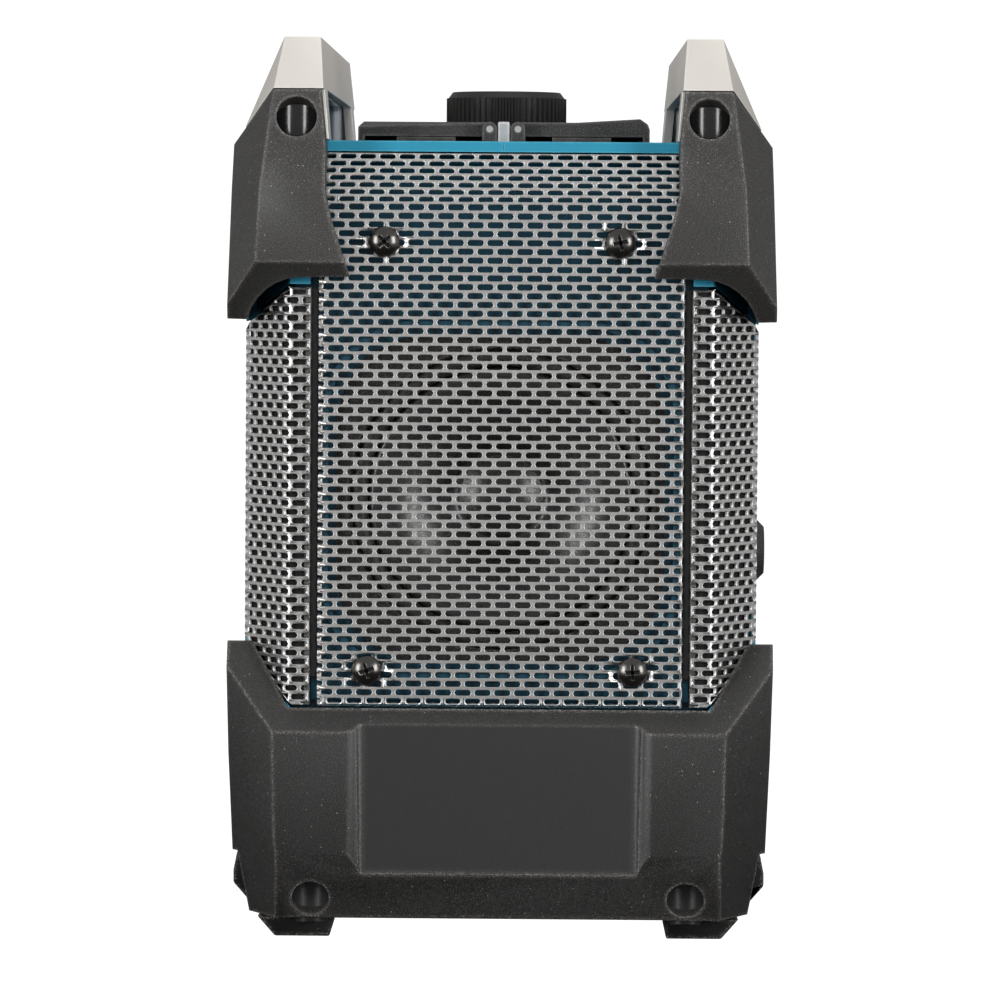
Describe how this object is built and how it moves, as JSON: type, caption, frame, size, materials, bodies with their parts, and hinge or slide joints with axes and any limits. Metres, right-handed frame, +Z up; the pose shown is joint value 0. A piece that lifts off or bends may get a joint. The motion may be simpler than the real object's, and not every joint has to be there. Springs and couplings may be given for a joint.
{
  "type": "jobsite radio",
  "caption": "Boxy jobsite radio with perforated steel end grilles over speakers, rubber corner bumpers, two silver roll bars, a top knob and hinged top covers.",
  "frame": {"origin": "on the floor under the middle of the radio", "axes": "+Z up, front with the control panel towards -Y, left end (the end in the picture) towards -X"},
  "size_m": [0.274, 0.166, 0.272],
  "materials": {
    "teal_plastic": "moulded, fine grain, satin",
    "dark_teal_plastic": "moulded, satin",
    "black_plastic": "moulded, fine grain",
    "steel_sheet": "perforated sheet, bright, slightly rolled texture",
    "black_rubber": "soft elastomer, fine grain",
    "black_screw": "glossy black oxide",
    "silver_paint": "satin metallic paint",
    "gloss_grey_plastic": "glossy",
    "light_grey_plastic": "satin",
    "bright_steel": "polished",
    "grey_metal": "satin",
    "display_window": "gloss, smoked",
    "display_glass": "display face",
    "key_plastic": "satin",
    "circuit_board": "solder mask",
    "socket_parts": "moulded",
    "battery_plastic": "moulded",
    "brass_contacts": "plain",
    "magnet_iron": "dark",
    "cone_paper": "semi-gloss coated cone",
    "ferrite": "dull"
  },
  "bodies": {
    "root": {"front_housing": "teal_plastic", "rear_housing": "teal_plastic", "left_end_panel": "dark_teal_plastic", "right_end_panel": "dark_teal_plastic", "top_deck": "black_plastic", "base_tub": "black_plastic", "left_centre_grille": "steel_sheet", "right_centre_grille": "steel_sheet", "left_front_grille": "steel_sheet", "left_rear_grille": "steel_sheet", "right_front_grille": "steel_sheet", "right_rear_grille": "steel_sheet", "seal_strips": "black_rubber", "grille_screws": "black_screw", "left_front_bumper": "black_rubber", "left_rear_bumper": "black_rubber", "right_front_bumper": "black_rubber", "right_rear_bumper": "black_rubber", "left_lower_bumper": "black_rubber", "right_lower_bumper": "black_rubber", "feet": "black_rubber", "base_screws": "black_screw", "front_roll_bar": "silver_paint", "rear_roll_bar": "silver_paint", "grip_liners": "gloss_grey_plastic", "top_encoder": "grey_metal", "cover_spine": "light_grey_plastic", "hinge_pins": "bright_steel", "front_panel": "black_plastic", "display_lens": "display_window", "display_module": "display_glass", "dial_encoder": "grey_metal", "main_board": "circuit_board", "aux_socket": "black_plastic", "dc_socket": "socket_parts", "battery_pack": "battery_plastic", "terminal_block": "brass_contacts", "left_basket": "black_plastic", "left_magnet": "magnet_iron", "left_surround": "black_rubber", "right_basket": "black_plastic", "right_magnet": "magnet_iron", "right_surround": "black_rubber", "ferrite_aerial": "ferrite"},
    "knob": {"top_knob": "black_plastic"},
    "dial": {"tuning_dial": "black_plastic"},
    "front_cover": {"front_top_cover": "black_plastic"},
    "rear_cover": {"rear_top_cover": "black_plastic"},
    "door": {"battery_door": "black_plastic"},
    "socket_lid": {"socket_cap": "black_rubber"},
    "aerial_knuckle": {"whip_knuckle": "bright_steel"},
    "aerial_rod": {"whip_aerial": "bright_steel"},
    "left_diaphragm": {"left_cone": "cone_paper"},
    "right_diaphragm": {"right_cone": "cone_paper"},
    "power_key_cap": {"power_key": "key_plastic"},
    "source_key_cap": {"source_key": "key_plastic"},
    "menu_key_cap": {"menu_key": "key_plastic"},
    "preset_1_key_cap": {"preset_1_key": "key_plastic"},
    "preset_2_key_cap": {"preset_2_key": "key_plastic"},
    "preset_3_key_cap": {"preset_3_key": "key_plastic"}
  },
  "joints": [
    {"name": "top_knob_spin", "type": "hinge", "parent": "root", "child": "knob", "pos_m": [0, 0, 0.25], "axis": [0, 0, 1], "continuous": true},
    {"name": "tuning_dial_spin", "type": "hinge", "parent": "root", "child": "dial", "pos_m": [-0.046, -0.08, 0.1138], "axis": [0, -1, 0], "continuous": true},
    {"name": "front_cover_hinge", "type": "hinge", "parent": "root", "child": "front_cover", "pos_m": [0, -0.0043, 0.2448], "axis": [-1, 0, 0], "range_deg": [0, 90]},
    {"name": "rear_cover_hinge", "type": "hinge", "parent": "root", "child": "rear_cover", "pos_m": [0, 0.0043, 0.2448], "axis": [1, 0, 0], "range_deg": [0, 90]},
    {"name": "battery_door_hinge", "type": "hinge", "parent": "root", "child": "door", "pos_m": [0, 0.0752, 0.0312], "axis": [-1, 0, 0], "range_deg": [0, 90]},
    {"name": "socket_cap_hinge", "type": "hinge", "parent": "root", "child": "socket_lid", "pos_m": [0.0331, -0.0769, 0.1138], "axis": [0, 0, -1], "range_deg": [0, 95]},
    {"name": "aerial_swivel", "type": "hinge", "parent": "root", "child": "aerial_knuckle", "pos_m": [0.084, 0.08045, 0.215], "axis": [0, 1, 0], "range_deg": [0, 90]},
    {"name": "aerial_tilt", "type": "hinge", "parent": "aerial_knuckle", "child": "aerial_rod", "pos_m": [0.084, 0.08045, 0.215], "axis": [0, 0, -1], "range_deg": [0, 90]},
    {"name": "left_cone_swing", "type": "slide", "parent": "root", "child": "left_diaphragm", "axis": [1, 0, 0], "range_m": [-0.002, 0.002], "stiffness_N_per_m": 1500},
    {"name": "right_cone_swing", "type": "slide", "parent": "root", "child": "right_diaphragm", "axis": [1, 0, 0], "range_m": [-0.002, 0.002], "stiffness_N_per_m": 1500},
    {"name": "power_key_press", "type": "slide", "parent": "root", "child": "power_key_cap", "axis": [0, 1, 0], "range_m": [0, 0.001], "stiffness_N_per_m": 500, "springref_m": -0.001},
    {"name": "source_key_press", "type": "slide", "parent": "root", "child": "source_key_cap", "axis": [0, 1, 0], "range_m": [0, 0.001], "stiffness_N_per_m": 500, "springref_m": -0.001},
    {"name": "menu_key_press", "type": "slide", "parent": "root", "child": "menu_key_cap", "axis": [0, 1, 0], "range_m": [0, 0.001], "stiffness_N_per_m": 500, "springref_m": -0.001},
    {"name": "preset_1_key_press", "type": "slide", "parent": "root", "child": "preset_1_key_cap", "axis": [0, 1, 0], "range_m": [0, 0.001], "stiffness_N_per_m": 500, "springref_m": -0.001},
    {"name": "preset_2_key_press", "type": "slide", "parent": "root", "child": "preset_2_key_cap", "axis": [0, 1, 0], "range_m": [0, 0.001], "stiffness_N_per_m": 500, "springref_m": -0.001},
    {"name": "preset_3_key_press", "type": "slide", "parent": "root", "child": "preset_3_key_cap", "axis": [0, 1, 0], "range_m": [0, 0.001], "stiffness_N_per_m": 500, "springref_m": -0.001}
  ]
}
